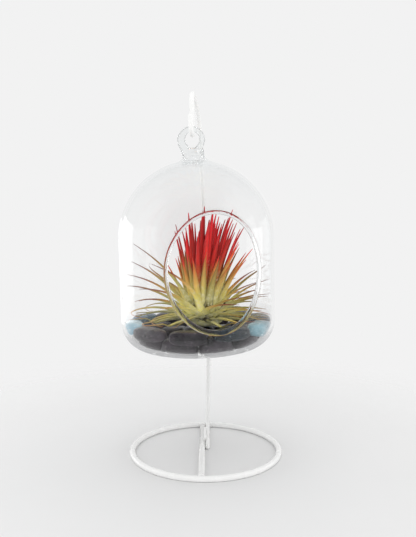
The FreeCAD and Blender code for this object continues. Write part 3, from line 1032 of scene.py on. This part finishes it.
# %% The rosette, from the stones up to the heart
rosette("skirt_leaves", 32, 0, foot=(5.0, 8.0), reach=(11.5, 11.5), rises=((8.0, 40.0), (-42.0, -14.0)),
        length=56.0, width=5.0, taper=1.15, spread=6.0, material=skirt_finish,
        curled=(1, 3, 6, 9, 12, 14, 17, 20, 22, 25, 28), parted=True)
rosette("outer_leaves", 24, 32, foot=(8.0, 10.5), reach=(11.5, 11.0), rises=((46.0, 63.0), (-6.0, 27.0)),
        length=64.0, width=6.0, taper=1.15, spread=6.0, material=outer_finish,
        curled=(5, 11), curling=0.3, parted=True)
rosette("middle_leaves", 26, 56, foot=(10.5, 13.5), reach=(11.0, 8.8), rises=((70.0, 80.0), (50.0, 74.0)),
        length=42.0, width=7.0, taper=0.9, spread=5.0, material=middle_finish)
rosette("inner_leaves", 26, 82, foot=(12.5, 15.5), reach=(9.0, 6.0), rises=((78.0, 85.0), (66.0, 82.0)),
        length=55.0, width=5.6, taper=0.66, spread=4.0, material=inner_finish)
rosette("heart_leaves", 22, 108, foot=(15.0, 18.0), reach=(6.0, 1.2), rises=((83.0, 88.0), (76.0, 88.0)),
        length=59.0, width=4.8, taper=0.55, spread=3.0, material=heart_finish)

# %% [markdown]
# ## Bulb
#
# Under the leaves is the short stem with the swollen leaf bases round it. It is a small lathed bulb with
# shallow ribs where the bases press against each other. Bases modelled one by one would hardly show here.

# %% Bulb
bulb_sides = 64
bulb_ribs = 8
rib_depth = 0.05
bulb_profile = (
    (0.6, 4.0), (1.4, 8.2), (3.2, 10.6), (6.0, 11.4), (9.5, 10.8), (13.0, 9.2), (16.5, 7.0), (19.5, 4.0),
)


def bulb():
    """A ribbed bulb on the plant's axis."""
    rings, shares = [], []
    for height, reach in bulb_profile:
        ring = []
        for side in range(bulb_sides):
            turn = 2 * math.pi * side / bulb_sides
            ripple = 1.0 + rib_depth * math.cos(bulb_ribs * turn + height * 0.25)
            ring.append(Vector((
                core_middle.x + reach * ripple * math.cos(turn) * mm,
                core_middle.y + reach * ripple * math.sin(turn) * mm,
                core_foot + height * mm,
            )))
        rings.append(ring)
        shares += [height / 40.0] * bulb_sides
    points, faces = skin(rings)
    made = mesh_object("bulb", points, faces)
    marked(made, along=shares, tone=[0.5] * len(points), edge=[0.3] * len(points))
    made.data.transform(hung)
    return made


seated(bulb(), "plant", "plant_core", bulb_finish)
print("bulb made")

# %% [markdown]
# ## Table and light
#
# The object stands on a pale sheet that falls a shade darker round the ring and runs out into an even pale
# background. Two windows stand to the left and right, where the glass mirrors them as upright bands. A large
# soft lamp hangs above and another stands in front, and the glass shows neither.
#
# A picture of a real studio could light all this, but lamps can be moved until each mirrored band lies where
# the photograph has it. What the glass mirrors from the camera's side is a darker grey, like the dim half of
# a studio, and the sheet turns a darker grey where it is mirrored, as painted shade. Otherwise the front wall
# would veil the stones with pale mirrored light.

# %% Table
table_sides = 96
table_rings = (0.02, 0.1, 0.3)


def table_top():
    """A wide disc whose edge fades into the background."""
    material, start = new_material("table_sheet")
    place = start.node("ShaderNodeTexCoord", output="Object")
    reach = start.node("ShaderNodeVectorMath", {"operation": "LENGTH"}, {0: place}, "Value")
    cloud = grain(start, 14.0)
    pale = cloud.mix(paint(234, 234, 234), paint(237, 237, 237))
    # Where it is mirrored the sheet turns a darker grey: a painted shade in the glass's reflections.
    tone = mirrored_ray(start).mix(pale, paint(196, 196, 197))
    sheet = start.node("ShaderNodeBsdfPrincipled", {}, {"Base Color": tone, "Roughness": 0.7})
    air = start.node("ShaderNodeBsdfTransparent")
    fade = reach.between(0.12, table_rings[-1])
    finish_material(start, start.node("ShaderNodeMixShader", {}, {0: fade, 1: sheet, 2: air}))
    turns = [2 * math.pi * side / table_sides for side in range(table_sides)]
    rings = [[Vector((r * math.cos(t), r * math.sin(t), 0.0)) for t in turns] for r in table_rings]
    points, faces = skin(rings)
    made = mesh_object("table", points, faces[:-1])
    made.location.z = -0.05 * mm
    made.data.materials.append(material)
    return made


table_top()
print("table sheet", 2 * table_rings[-1], "m across")


# %% Background and lamps
def background(level, seen):
    """An even pale surround. The level lights the scene, and the colour is what the camera and the glass see.

    The glass also sees a greyer ceiling and, in its reflections, a dark side behind the camera."""
    world = bpy.data.worlds.new("surround")
    bpy.context.scene.world = world
    world.use_nodes = True
    world.node_tree.nodes.clear()
    start = Flow(world.node_tree)
    light = start.node("ShaderNodeBackground", {}, {"Color": (1.0, 1.0, 1.0, 1.0), "Strength": level})
    direction = start.node("ShaderNodeTexCoord", output="Generated")
    height = start.node("ShaderNodeSeparateXYZ", {}, {0: direction}, "Z")
    depth = start.node("ShaderNodeSeparateXYZ", {}, {0: direction}, "Y")
    camera_ray = start.node("ShaderNodeLightPath", output="Is Camera Ray")
    glossy = start.node("ShaderNodeLightPath", output="Is Glossy Ray")
    through = start.node("ShaderNodeLightPath", output="Is Transmission Ray")
    ceiling = height.between(0.25, 0.95).mix(seen, paint(232, 234, 235))
    behind_camera = depth.between(-0.2, -0.8) * mirrored_ray(start)
    around = behind_camera.mix(ceiling, paint(132, 133, 135))
    shown = camera_ray.mix(around, seen)
    view = start.node("ShaderNodeBackground", {}, {"Color": shown, "Strength": 1.0})
    which = camera_ray.larger(glossy).larger(through)
    mixed = start.node("ShaderNodeMixShader", {}, {0: which, 1: light, 2: view})
    start.node("ShaderNodeOutputWorld", {}, {"Surface": mixed})


def lamp(name, place, aim, width, height, radiance, mirrored=True):
    """A soft rectangular lamp that looks this bright."""
    data = bpy.data.lights.new(name, "AREA")
    data.shape = "RECTANGLE"
    data.size = width
    data.size_y = height
    data.energy = radiance * math.pi * width * height
    made = linked(name, data)
    made.location = place
    made.rotation_euler = (Vector(aim) - Vector(place)).to_track_quat("-Z", "Y").to_euler()
    made.visible_camera = False
    made.visible_glossy = mirrored
    made.visible_transmission = mirrored


background(0.93, paint(242, 242, 242))
globe_middle = (-0.005, -0.008, 0.13)
lamp("left_window", (-0.57, 0.32, 0.12), globe_middle, 0.42, 0.30, 0.94)
lamp("right_window", (0.59, 0.05, 0.14), globe_middle, 0.30, 0.2, 0.94)
lamp("overhead", (-0.15, -0.25, 0.85), globe_middle, 0.7, 0.7, 0.42, mirrored=False)
lamp("front_fill", (0.1, -0.9, 0.08), globe_middle, 0.9, 0.5, 0.8, mirrored=False)
bpy.context.scene.view_settings.view_transform = "Standard"
print("table and lamps ready")
